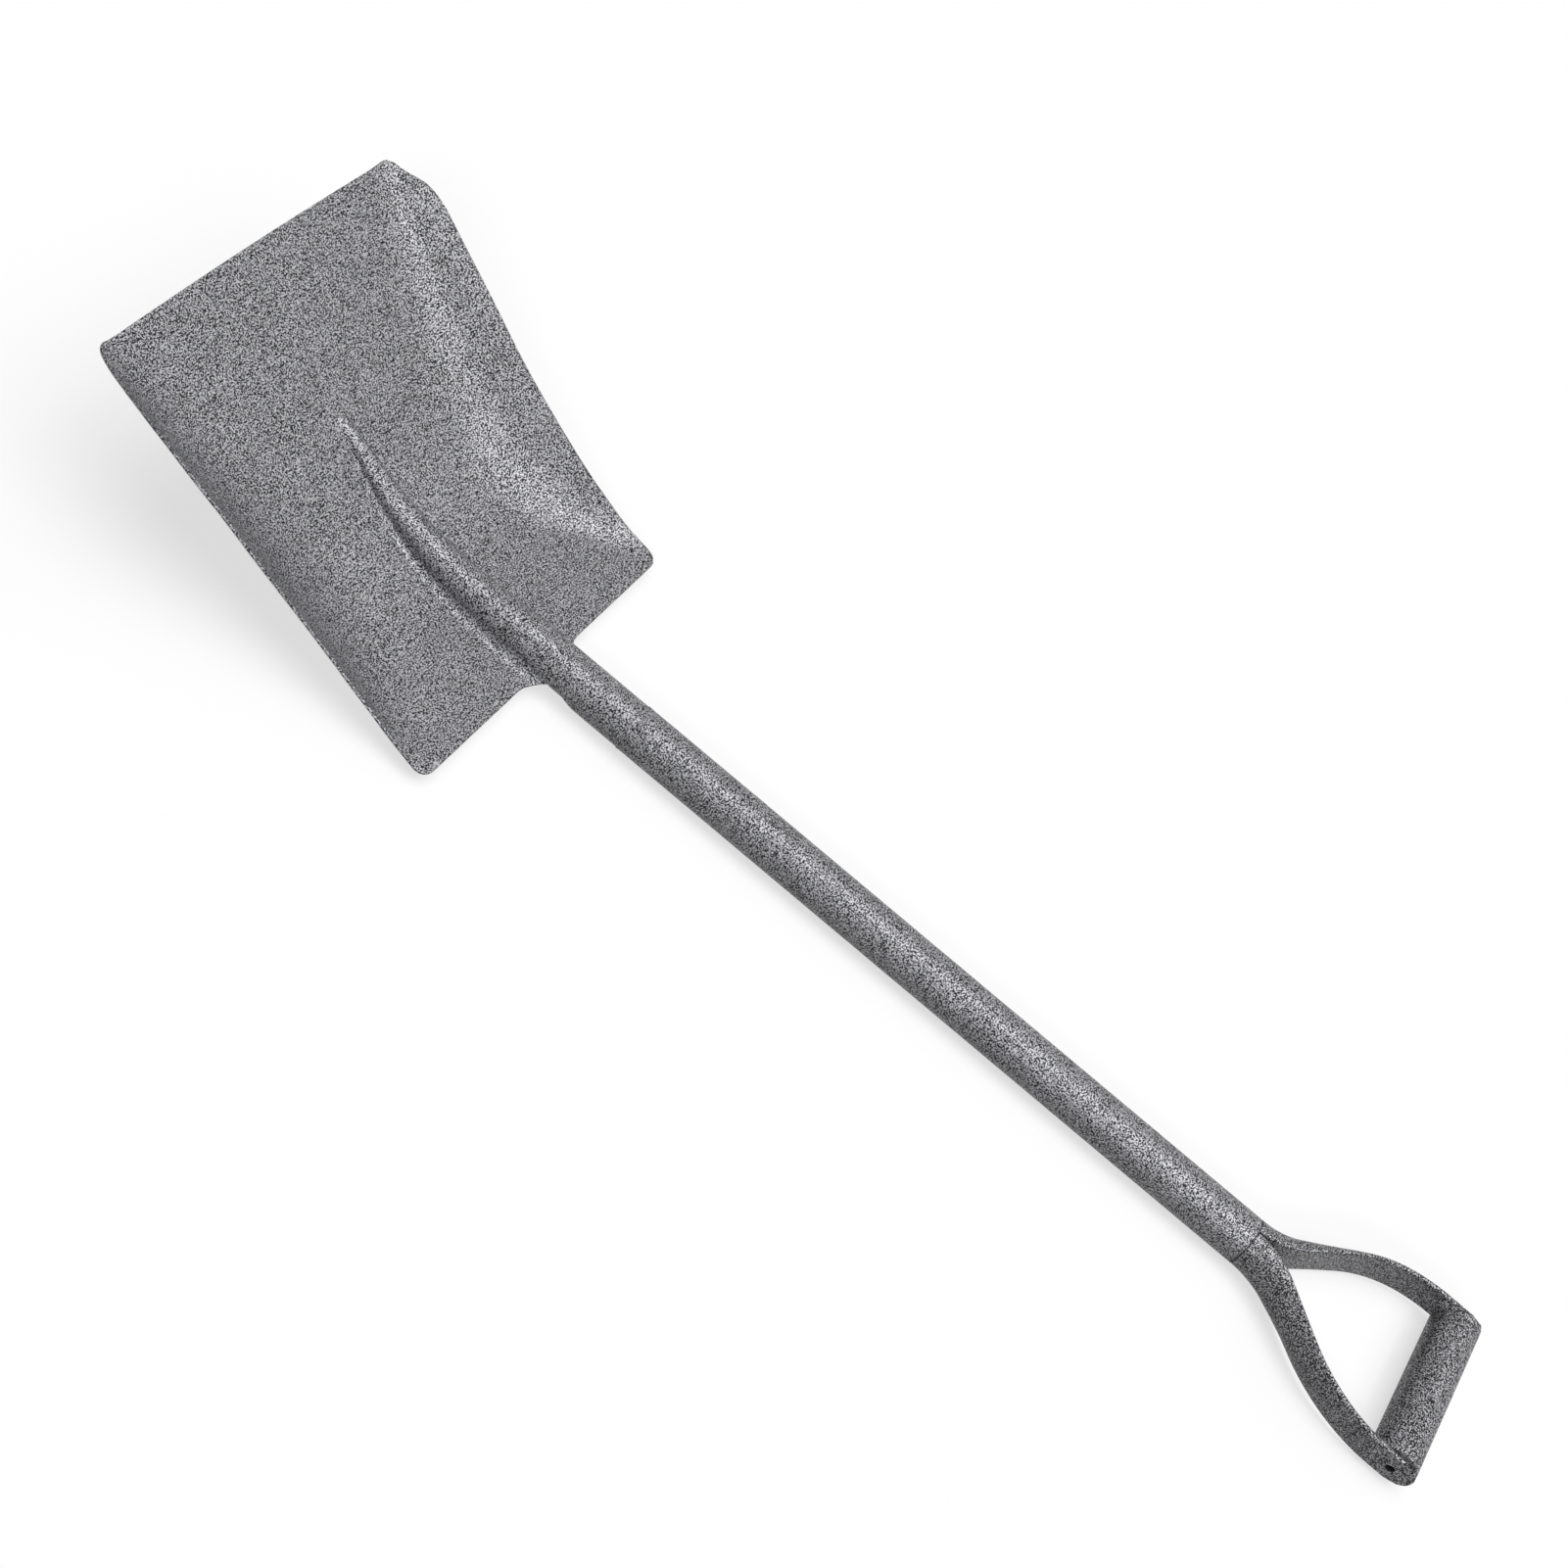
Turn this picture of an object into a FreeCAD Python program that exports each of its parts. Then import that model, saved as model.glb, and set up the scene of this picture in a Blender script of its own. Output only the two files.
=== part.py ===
import FreeCAD, Part
import math
import os

os.makedirs("parts", exist_ok=True)

# All-steel square mouth shovel, lying on its back. Lengths are in millimetres, angles in degrees.
# X runs across the blade, +Y runs along the shaft towards the mouth, +Z is the side that carries the load.
# The origin is on the shaft's axis, at the middle of the bare shaft.

# Shaft: a round tube whose front end is drawn down to enter the socket
shaft_length = 480.0
shaft_radius = 16.0
shaft_wall = 1.5
neck_length = 3.0
spigot_length = 55.0
socket_clearance = 0.1
fork_bevel = 1.2
socket_bead_height = 0.2

# Blade: one pressed sheet that holds the pan, the rib and the rolled socket
sheet_thickness = 1.8
socket_radius = 15.7
socket_length = 64.0
pan_length = 272.4
floor_drop = 4.3
floor_bend_start = 53.0
floor_bend_radius = 170.0
lift_angle = 35.6
pan_half_width = 125.0
wall_depth = 36.6
wall_angle = 48.0
rib_foot_radius = 7.5
rib_length = 183.0
rib_tip_half_width = 5.5
rib_tip_height = 0.01
shoulder_fillet = 15.0
shoulder_corner_radius = 9.0
shoulder_half_width = 122.5
rim_corner_half_width = 133.6
rim_corner_setback = 31.2
rim_corner_radius = 26.0
mouth_corner_radius = 6.0
mouth_bow = 2.7
mouth_bow_share = 0.9

# Back of the socket: closed by a seam weld, then open up to the pan
seam_length = 22.0
open_back_end = 52.0
seam_gap = 1.6
seam_bead_height = 0.2
socket_overlap = 0.05

# Fork: two tubes, D-shaped where they meet the shaft, pressed flat towards the grip
arm_gap = 0.8
arm_wall = 1.6
arm_first_bend_radius = 50.0
arm_second_bend_radius = 120.0
arm_bend_angle = 34.0
arm_neck_half_width = 13.6
arm_face_crown = 0.25
arm_corner_radius = 2.2
eye_thickness = 3.6
eye_radius = 12.2
eye_reach = 15.6
eye_edge_radius = 1.2
arm_rise = 1.2
grip_reach = 137.5

# Grip: a round tube between two end caps
grip_half_length = 50.4
grip_radius = 15.4
grip_wall = 1.5
cap_rim_thickness = 5.8
cap_spigot_length = 8.0
cap_clearance = 0.1
edge_bevel = 0.45
vent_radius = 2.75
grip_bead_leg = 5.0

# Working space beyond a body that is cut, and spacing of the sections that follow the sheet
overrun = 10.0
section_pitch = 6.9

# Pan at even stations from the shoulder to the mouth, as shares of pan_half_width or wall_depth
rim_half_width_shares = [0.980, 0.962, 0.956, 0.959, 0.969, 0.985, 1.006, 1.030, 1.054, 1.078, 1.101]
floor_half_width_shares = [0.80, 0.79, 0.66, 0.52, 0.43, 0.41, 0.47, 0.56, 0.655, 0.775, 0.865]
wall_depth_shares = [-0.055, 0.165, 0.475, 0.76, 0.943, 1.0, 0.94, 0.832, 0.73, 0.605, 0.35]

# Where the rib, the flat floor and the wall end on half a section, and how finely each is followed
rib_end_share = 0.40
floor_end_share = 0.62
samples_per_half = 30
normal_step_share = 0.0005

# How the rib's height and half width fade towards its tip
rib_fade_power = 2.2
rib_crown_power = 0.9
rib_narrowing_power = 1.5

# Fork arm sections: shares of the way along an arm, with the share of the change from D-shape to flat
arm_station_shares = [0.0, 0.10, 0.20, 0.32, 0.45, 0.60, 0.78, 1.0]
arm_flat_shares = [0.0, 0.10, 0.32, 0.60, 0.80, 0.92, 0.98, 1.0]
arm_narrowed_shares = [0.0, 0.0, 0.2, 0.6, 0.85, 1.0, 1.0, 1.0]
arm_void_stations = 5
arm_corner_angle = 84.0

# Places worked out from the sizes above
socket_joint_y = shaft_length / 2
fork_joint_y = -shaft_length / 2
shoulder_y = socket_joint_y + socket_length
mouth_y = shoulder_y + pan_length
grip_y = fork_joint_y - grip_reach
socket_bore_radius = socket_radius - sheet_thickness
spigot_radius = socket_bore_radius - socket_clearance
eye_inner_x = grip_half_length + cap_rim_thickness
eye_centre_x = eye_inner_x + eye_thickness / 2


def vector(x, y, z):
    return FreeCAD.Vector(x, y, z)


def turned_ring(profile, axis):
    """Solid of revolution about the origin's axis from a closed list of points."""
    face = Part.Face(Part.makePolygon(profile + [profile[0]]))
    return face.revolve(vector(0, 0, 0), axis, 360)


def lathe_y(points):
    """Turn (radius, y) points about the shaft's axis."""
    return turned_ring([vector(radius, y, 0) for radius, y in points], vector(0, 1, 0))


def write(shape, node):
    shape.exportStep("parts/" + node + ".step")
    print(node, "valid", shape.isValid(), "solids", len(shape.Solids), "volume", round(shape.Volume))


def mixed(first, second, share):
    return first + (second - first) * share


def share_at(shares, place):
    """Smooth cubic through evenly spaced shares; place runs from 0 at the first to 1 at the last."""
    last = len(shares) - 1
    position = max(place, 0) * last
    index = min(int(position), last - 1)
    step = position - index
    start = shares[index]
    end = shares[index + 1]
    start_slope = (end - shares[index - 1]) / 2 if index > 0 else end - start
    end_slope = (shares[index + 2] - start) / 2 if index + 2 <= last else end - start
    square = step * step
    cube = square * step
    return (
        start * (2 * cube - 3 * square + 1)
        + start_slope * (cube - 2 * square + step)
        + end * (3 * square - 2 * cube)
        + end_slope * (cube - square)
    )


def floor_height(along):
    """Height of the pan's floor: level at the shoulder, an arc, then straight at the lift angle."""
    lift = math.radians(lift_angle)
    bend = along - floor_bend_start
    bend_end = floor_bend_radius * math.sin(lift)
    if bend <= 0:
        return -floor_drop
    if bend <= bend_end:
        return floor_bend_radius - math.sqrt(floor_bend_radius**2 - bend**2) - floor_drop
    return floor_bend_radius * (1 - math.cos(lift)) + (bend - bend_end) * math.tan(lift) - floor_drop


def rib_shape(along):
    """Height and half width of the rib: the socket's upper half, fading into the floor at its tip."""
    full_height = socket_radius + floor_drop
    arcs = socket_radius + rib_foot_radius
    full_half_width = math.sqrt(arcs**2 - (arcs - full_height) ** 2)
    faded = min(max(along / rib_length, 0), 1)
    height = mixed(rib_tip_height, full_height, (1 - faded**rib_fade_power) ** rib_crown_power)
    half_width = mixed(full_half_width, rib_tip_half_width, faded**rib_narrowing_power)
    return height, half_width


def rib_point(share, along):
    """Point on the rib's flank: a crown arc and a foot arc that turns back by the same angle."""
    height, half_width = rib_shape(along)
    turn = 2 * math.atan(height / half_width)
    arcs = half_width / math.sin(turn)
    crown = arcs * socket_radius / (socket_radius + rib_foot_radius)
    foot = arcs - crown
    travelled = share * arcs * turn
    crest = floor_height(along) + height
    if travelled <= crown * turn:
        angle = travelled / crown
        return crown * math.sin(angle), crest - crown * (1 - math.cos(angle))
    angle = turn - (travelled - crown * turn) / foot
    x = crown * math.sin(turn) + foot * (math.sin(turn) - math.sin(angle))
    z = crest - crown * (1 - math.cos(turn)) - foot * (math.cos(angle) - math.cos(turn))
    return x, z


def wall_point(share, along):
    """Point on the pan's side: an arc off the floor and, where the side is tall, a straight to the rim."""
    place = along / pan_length
    start = pan_half_width * share_at(floor_half_width_shares, place)
    run = pan_half_width * share_at(rim_half_width_shares, place) - start
    rise = wall_depth * share_at(wall_depth_shares, place)
    turn = 2 * math.atan(rise / run)
    if turn < math.radians(wall_angle):
        angle = share * turn
        radius = run / math.sin(turn)
        return start + radius * math.sin(angle), floor_height(along) + radius * (1 - math.cos(angle))
    turn = math.radians(wall_angle)
    radius = (run * math.sin(turn) - rise * math.cos(turn)) / (1 - math.cos(turn))
    straight = (rise - radius * (1 - math.cos(turn))) / math.sin(turn)
    travelled = share * (radius * turn + straight)
    angle = min(travelled / radius, turn)
    beyond = max(travelled - radius * turn, 0)
    x = start + radius * math.sin(angle) + beyond * math.cos(turn)
    z = floor_height(along) + radius * (1 - math.cos(angle)) + beyond * math.sin(turn)
    return x, z


def face_point(across, y):
    """Point on the loaded face of the sheet; across runs from -1 at one rim to 1 at the other."""
    along = y - shoulder_y
    share = abs(across)
    if share <= rib_end_share:
        x, z = rib_point(share / rib_end_share, along)
    elif share <= floor_end_share:
        foot_x, foot_z = rib_point(1, along)
        crease_x, crease_z = wall_point(0, along)
        part = (share - rib_end_share) / (floor_end_share - rib_end_share)
        x = foot_x + part * (crease_x - foot_x)
        z = foot_z + part * (crease_z - foot_z)
    else:
        x, z = wall_point((share - floor_end_share) / (1 - floor_end_share), along)
    return vector(math.copysign(x, across), y, z)


def back_point(across, y):
    """Point on the underside of the sheet, one thickness behind the loaded face."""
    small_length = normal_step_share * pan_length
    inner = max(across - normal_step_share, -1)
    outer = min(across + normal_step_share, 1)
    over = face_point(outer, y) - face_point(inner, y)
    ahead = face_point(across, y + small_length) - face_point(across, y - small_length)
    normal = over.cross(ahead)
    normal.normalize()
    return face_point(across, y) - normal * sheet_thickness


def ruled_side(first, second):
    return Part.makeRuledSurface(first.toShape(), second.toShape())


def pressed_sheet():
    """Closed sheet between the loaded face and the underside, wider and longer than the blade."""
    length = mouth_y + overrun - socket_joint_y
    stations = round(length / section_pitch)
    rows = [socket_joint_y + length * index / stations for index in range(stations + 1)]
    columns = [index / samples_per_half for index in range(-samples_per_half, samples_per_half + 1)]
    surfaces = []
    for place in (face_point, back_point):
        surface = Part.BSplineSurface()
        surface.interpolate([[place(across, y) for y in rows] for across in columns])
        surfaces.append(surface)
    face, back = surfaces
    u_first, u_last, v_first, v_last = face.bounds()
    bu_first, bu_last, bv_first, bv_last = back.bounds()
    faces = [
        face.toShape(),
        back.toShape(),
        ruled_side(face.uIso(u_first), back.uIso(bu_first)),
        ruled_side(face.uIso(u_last), back.uIso(bu_last)),
        ruled_side(face.vIso(v_first), back.vIso(bv_first)),
        ruled_side(face.vIso(v_last), back.vIso(bv_last)),
    ]
    shell = Part.Shell(faces)
    shell.sewShape()
    solid = Part.Solid(shell)
    if solid.Volume < 0:
        solid.reverse()
    return solid


def rounded_face(corners):
    """Flat face with (x, y, radius) corners, each rounded by an arc tangent to both of its sides."""
    edges = []
    ends = []
    count = len(corners)
    for index, (x, y, radius) in enumerate(corners):
        corner = vector(x, y, 0)
        before = vector(corners[index - 1][0], corners[index - 1][1], 0) - corner
        after = vector(corners[(index + 1) % count][0], corners[(index + 1) % count][1], 0) - corner
        before.normalize()
        after.normalize()
        half_angle = before.getAngle(after) / 2
        if radius == 0:
            ends.append((corner, corner))
            continue
        reach = radius / math.tan(half_angle)
        middle = before + after
        middle.normalize()
        crown = corner + middle * (radius / math.sin(half_angle) - radius)
        first = corner + before * reach
        last = corner + after * reach
        edges.append(Part.Arc(first, crown, last).toShape())
        ends.append((first, last))
    for index in range(count):
        edges.append(Part.makeLine(ends[index][1], ends[(index + 1) % count][0]))
    return Part.Face(Part.Wire(Part.__sortEdges__(edges)))


def blade_outline():
    """Upright prism over the blade's plan: socket sides, shoulders, rim corners and the bowed mouth."""
    socket_side = socket_radius * math.sin(math.radians(arm_corner_angle)) - socket_overlap
    bow_height = mouth_bow * mouth_bow_share / (2 - mouth_bow_share)
    bow_radius = mouth_bow_share * pan_half_width**2 / (mouth_bow + bow_height)
    half = [
        (socket_side, socket_joint_y, 0),
        (socket_side, shoulder_y, shoulder_fillet),
        (shoulder_half_width, shoulder_y, shoulder_corner_radius),
        (rim_corner_half_width, mouth_y - rim_corner_setback, rim_corner_radius),
        (pan_half_width, mouth_y - mouth_bow, mouth_corner_radius),
    ]
    mirrored = [(-x, y, radius) for x, y, radius in reversed(half)]
    face = rounded_face(half + [(0, mouth_y + bow_height, bow_radius)] + mirrored)
    face.translate(vector(0, 0, -shaft_radius - overrun))
    return face.extrude(vector(0, 0, pan_length))


def socket_back():
    """Lower part of the rolled socket, closed over the seam length and then cut away on a slant."""
    outer = socket_radius - socket_overlap
    inner = socket_bore_radius + socket_overlap
    length = socket_length
    axis = vector(0, 1, 0)
    start = vector(0, socket_joint_y, 0)
    tube = Part.makeCylinder(outer, length, start, axis).cut(Part.makeCylinder(inner, length, start, axis))
    level = socket_radius / 2
    kept = Part.Face(Part.makePolygon([
        vector(0, socket_joint_y, -socket_radius),
        vector(0, socket_joint_y + seam_length, -socket_radius),
        vector(0, socket_joint_y + open_back_end, sheet_thickness),
        vector(0, socket_joint_y + open_back_end, level),
        vector(0, socket_joint_y, level),
        vector(0, socket_joint_y, -socket_radius),
    ]))
    kept.translate(vector(-socket_radius, 0, 0))
    lower = tube.common(kept.extrude(vector(2 * socket_radius, 0, 0)))
    slot = Part.makeBox(
        seam_gap, socket_length + overrun, socket_radius,
        vector(-seam_gap / 2, socket_joint_y - overrun / 2, -socket_radius - sheet_thickness / 2),
    )
    return lower.cut(slot)


def blade():
    sheet = pressed_sheet().common(blade_outline())
    return sheet.fuse(socket_back()).removeSplitter()


def shaft_tube():
    inner = shaft_radius - shaft_wall
    spigot_inner = spigot_radius - shaft_wall
    return lathe_y([
        (inner, fork_joint_y),
        (shaft_radius - fork_bevel, fork_joint_y),
        (shaft_radius, fork_joint_y + fork_bevel),
        (shaft_radius, socket_joint_y - neck_length),
        (spigot_radius, socket_joint_y),
        (spigot_radius, socket_joint_y + spigot_length),
        (spigot_inner, socket_joint_y + spigot_length),
        (spigot_inner, socket_joint_y),
        (inner, socket_joint_y - neck_length),
    ])


def socket_weld():
    """Bead that fills the groove between the shaft's neck and the end of the socket."""
    crown = shaft_radius + socket_bead_height
    return lathe_y([
        (spigot_radius, socket_joint_y),
        (shaft_radius, socket_joint_y - neck_length),
        (crown, socket_joint_y - neck_length / 2),
        (socket_radius, socket_joint_y),
    ])


def socket_seam_weld():
    """Bead along the back of the socket, in the gap where the rolled sheet meets."""
    root = socket_bore_radius + socket_overlap
    crown = socket_radius + seam_bead_height
    half_gap = seam_gap / 2
    side_z = -socket_radius + sheet_thickness / 4
    start = vector(-half_gap, socket_joint_y, -root)
    rows = [
        Part.makeLine(start, vector(half_gap, socket_joint_y, -root)),
        Part.makeLine(vector(half_gap, socket_joint_y, -root), vector(half_gap, socket_joint_y, side_z)),
        Part.Arc(
            vector(half_gap, socket_joint_y, side_z),
            vector(0, socket_joint_y, -crown),
            vector(-half_gap, socket_joint_y, side_z),
        ).toShape(),
        Part.makeLine(vector(-half_gap, socket_joint_y, side_z), start),
    ]
    return Part.Face(Part.Wire(rows)).extrude(vector(0, seam_length, 0))


def fork_weld():
    """Flush bead in the bevel at the shaft's end, against the tops of both arms."""
    return lathe_y([
        (shaft_radius - fork_bevel, fork_joint_y),
        (shaft_radius, fork_joint_y),
        (shaft_radius, fork_joint_y + fork_bevel),
    ])


def arm_route():
    """S-bend of an arm's centre line: arc outwards, straight, arc back, straight to the eye."""
    turn = math.radians(arm_bend_angle)
    start_x = (shaft_radius + arm_gap / 2) / 2
    spread = eye_centre_x - start_x
    arcs = (arm_first_bend_radius + arm_second_bend_radius) * (1 - math.cos(turn))
    slant = (spread - arcs) / math.sin(turn)
    slant_end = arm_first_bend_radius * math.sin(turn) + slant * math.cos(turn)
    tail = grip_reach + eye_reach - eye_radius - slant_end - arm_second_bend_radius * math.sin(turn)
    lengths = [arm_first_bend_radius * turn, slant, arm_second_bend_radius * turn, tail]
    return start_x, turn, lengths


def arm_frame(share):
    """Point on an arm's centre line, lifted a little halfway, and the unit vector out of the fork there."""
    start_x, turn, lengths = arm_route()
    left = share * sum(lengths)
    angle = min(left, lengths[0]) / arm_first_bend_radius
    x = start_x + arm_first_bend_radius * (1 - math.cos(angle))
    y = fork_joint_y - arm_first_bend_radius * math.sin(angle)
    left -= min(left, lengths[0])
    x += min(left, lengths[1]) * math.sin(turn)
    y -= min(left, lengths[1]) * math.cos(turn)
    left -= min(left, lengths[1])
    back = min(left, lengths[2]) / arm_second_bend_radius
    x += arm_second_bend_radius * (math.cos(turn - back) - math.cos(turn))
    y -= arm_second_bend_radius * (math.sin(turn) - math.sin(turn - back))
    left -= min(left, lengths[2])
    y -= left
    angle -= back
    lifted = arm_rise * math.sin(math.pi * share) ** 2
    return vector(x, y, lifted), vector(math.cos(angle), math.sin(angle), 0)


def arm_section(share, flat, narrowed, inset):
    """Closed section of an arm, from a D that matches the shaft to a flat oval; inset gives the inside."""
    centre, outward = arm_frame(share)
    start_x, turn, lengths = arm_route()
    corner = math.radians(arm_corner_angle)
    radius = shaft_radius - inset
    shift = start_x
    flat_side = arm_gap / 2 + inset - shift
    half = eye_thickness / 2 + (arm_corner_radius - eye_thickness / 2) * (1 - flat)
    half = max(half - inset, arm_face_crown)
    width = mixed(arm_neck_half_width, eye_radius, narrowed) - inset
    outer_middle = mixed(radius - shift, half + arm_face_crown, flat)
    outer_end = (mixed(radius * math.cos(corner) + inset - shift, half, flat),
                 mixed(radius * math.sin(corner), width - half, flat))
    tip = (mixed(flat_side + arm_corner_radius / 4, 0, flat),
           mixed(radius - arm_corner_radius / 4, width, flat))
    inner_end = (mixed(flat_side, -half, flat), mixed(radius - arm_corner_radius, width - half, flat))

    def place(outwards, up):
        return centre + outward * outwards + vector(0, 0, up)

    top = [place(outer_end[0], outer_end[1]), place(tip[0], tip[1]), place(inner_end[0], inner_end[1])]
    bottom = [place(outer_end[0], -outer_end[1]), place(tip[0], -tip[1]), place(inner_end[0], -inner_end[1])]
    return Part.Wire([
        Part.Arc(bottom[0], place(outer_middle, 0), top[0]).toShape(),
        Part.Arc(top[0], top[1], top[2]).toShape(),
        Part.makeLine(top[2], bottom[2]),
        Part.Arc(bottom[2], bottom[1], bottom[0]).toShape(),
    ])


def arm():
    """Right arm of the fork, with its rounded eye over the end of the grip."""
    stations = list(zip(arm_station_shares, arm_flat_shares, arm_narrowed_shares))
    outside = Part.makeLoft([arm_section(*station, 0) for station in stations], True)
    hollow = stations[:arm_void_stations]
    inside = Part.makeLoft([arm_section(*station, arm_wall) for station in hollow], True)
    axis = vector(1, 0, 0)
    eye_y = grip_y - eye_reach + eye_radius
    eye = Part.makeCylinder(eye_radius, eye_thickness, vector(eye_inner_x, eye_y, 0), axis)
    rims = [edge for edge in eye.Edges if isinstance(edge.Curve, Part.Circle)]
    eye = eye.makeFillet(eye_edge_radius, rims)
    vent = Part.makeCylinder(vent_radius, eye_thickness + 2 * overrun,
                             vector(eye_inner_x - overrun, grip_y, 0), axis)
    return outside.cut(inside).fuse(eye).cut(vent)


def grip_tube():
    inner = grip_radius - grip_wall
    end = grip_half_length
    points = [
        (inner, -end), (grip_radius - edge_bevel, -end), (grip_radius, -end + edge_bevel),
        (grip_radius, end - edge_bevel), (grip_radius - edge_bevel, end), (inner, end),
    ]
    tube = turned_ring([vector(x, radius, 0) for radius, x in points], vector(1, 0, 0))
    tube.translate(vector(0, grip_y, 0))
    return tube


def grip_cap():
    """Right end cap: a rim flush with the grip, a spigot inside it and the vent hole through both."""
    spigot = grip_radius - grip_wall - cap_clearance
    points = [
        (vent_radius, grip_half_length - cap_spigot_length),
        (spigot, grip_half_length - cap_spigot_length),
        (spigot, grip_half_length),
        (grip_radius - edge_bevel, grip_half_length),
        (grip_radius, grip_half_length + edge_bevel),
        (grip_radius, eye_inner_x - edge_bevel),
        (grip_radius - edge_bevel, eye_inner_x),
        (vent_radius, eye_inner_x),
    ]
    cap = turned_ring([vector(x, radius, 0) for radius, x in points], vector(1, 0, 0))
    cap.translate(vector(0, grip_y, 0))
    return cap


def grip_weld(joined_arm):
    """Right fillet weld on the blade's side of the grip, between the cap's rim and the arm that trims it."""
    corner = vector(eye_inner_x, grip_radius, 0)
    down = vector(eye_inner_x - grip_bead_leg, grip_radius, 0)
    up = vector(eye_inner_x, grip_radius + grip_bead_leg, 0)
    sag = grip_bead_leg / 3
    edges = [
        Part.makeLine(corner, down),
        Part.Arc(down, vector(eye_inner_x - sag, grip_radius + sag, 0), up).toShape(),
        Part.makeLine(up, corner),
    ]
    axis = vector(1, 0, 0)
    profile = Part.Face(Part.Wire(edges))
    half_angle = math.degrees(math.asin(eye_radius / (grip_radius + grip_bead_leg)))
    profile.rotate(vector(0, 0, 0), axis, -half_angle)
    bead = profile.revolve(vector(0, 0, 0), axis, 2 * half_angle)
    bead.translate(vector(0, grip_y, 0))
    return bead.cut(joined_arm)


def mirrored(shape):
    """The same piece on the other side of the shovel's middle plane."""
    return shape.mirror(vector(0, 0, 0), vector(1, 0, 0))


write(blade(), "blade")
write(shaft_tube(), "shaft_tube")
write(socket_weld(), "socket_weld")
write(socket_seam_weld(), "socket_seam_weld")
write(fork_weld(), "fork_weld")
write(grip_tube(), "grip_tube")
right_arm = arm()
for name, shape in (("fork_arm", right_arm), ("grip_cap", grip_cap()), ("grip_weld", grip_weld(right_arm))):
    write(shape, "right_" + name)
    write(mirrored(shape), "left_" + name)
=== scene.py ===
import math

import bmesh
import bpy
import numpy as np
from mathutils import Matrix


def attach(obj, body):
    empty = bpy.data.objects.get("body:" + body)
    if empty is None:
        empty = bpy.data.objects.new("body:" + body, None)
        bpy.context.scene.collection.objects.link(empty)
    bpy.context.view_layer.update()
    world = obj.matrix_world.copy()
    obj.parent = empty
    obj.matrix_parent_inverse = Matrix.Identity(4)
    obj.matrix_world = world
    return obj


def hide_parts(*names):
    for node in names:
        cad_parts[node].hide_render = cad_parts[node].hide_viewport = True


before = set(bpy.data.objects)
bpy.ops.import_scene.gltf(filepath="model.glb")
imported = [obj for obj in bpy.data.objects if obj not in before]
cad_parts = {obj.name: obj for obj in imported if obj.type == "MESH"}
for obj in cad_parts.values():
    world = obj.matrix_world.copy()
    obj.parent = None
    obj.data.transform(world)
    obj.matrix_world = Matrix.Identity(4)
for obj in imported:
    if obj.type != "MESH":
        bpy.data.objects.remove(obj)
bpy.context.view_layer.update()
print("frame loaded with", len(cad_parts), "solids")

# Lengths in this file are millimetres and angles are degrees. makePiece turns them into metres.
# X runs across the blade, Y along the shaft towards the mouth, Z up from the loaded face.


def hexColour(code):
    # sRGB hex to linear: the sRGB curve undone on each channel
    channels = np.array([int(code[place:place + 2], 16) for place in (1, 3, 5)]) / 255
    linear = np.where(channels <= 0.04045, channels / 12.92, ((channels + 0.055) / 1.055) ** 2.4)
    return (*linear.tolist(), 1.0)


def addNode(tree, kind, settings=None, inputs=None):
    # one node with its settings; an input is a value or another node's output
    node = tree.nodes.new(kind)
    for name, value in (settings or {}).items():
        setattr(node, name, value)
    for name, value in (inputs or {}).items():
        if isinstance(value, bpy.types.NodeSocket):
            tree.links.new(value, node.inputs[name])
        else:
            node.inputs[name].default_value = value
    return node


hammeredPaint = {
    "valley": "#0c0c0e",        # dark binder that shows where the flake parts
    "flake": "#b4b4b8",         # leafing aluminium flake on the humps
    # mm from one hump to the next: 1.7 in the photo, too fine to show in a render of this size, so
    # drawn coarser; a 1024 pixel picture of it measures 2.8 to 2.9
    "grainPeriod": 2.4,
    "cellsPerPeriod": 2.9,      # noise cells in one period
    "grainDetail": 1.0, "grainRoughness": 0.45, "grainDistortion": 0.25,
    "cloudCells": 45.0,         # noise cells per metre: faint clouds about 22 mm wide
    "cloudDetail": 2.0, "cloudRoughness": 0.5,
    "cloudSway": 0.03,          # how far they move the noise level, from lowest to highest
    "flakeMetal": 0.25,
    "valleyRough": 0.6,
    "flakeRough": 0.34,
    "binderShine": 0.2,         # specular level: the dark binder is duller than plain enamel
    "clearCoat": 0.15,          # thin clear binder over the flake
    "coatRough": 0.16,
    "humpHeight": 0.13,         # mm
    "threshold": 0.515,         # noise level at which half of the flake shows
    "softness": 0.012,          # how far each side of it the flake's edge runs out
}
# painted shade for the handle's end: less flake on the fork and the grip, so more of the dark shows
handleShadeHammeredPaint = {**hammeredPaint, "threshold": 0.536}


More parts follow.
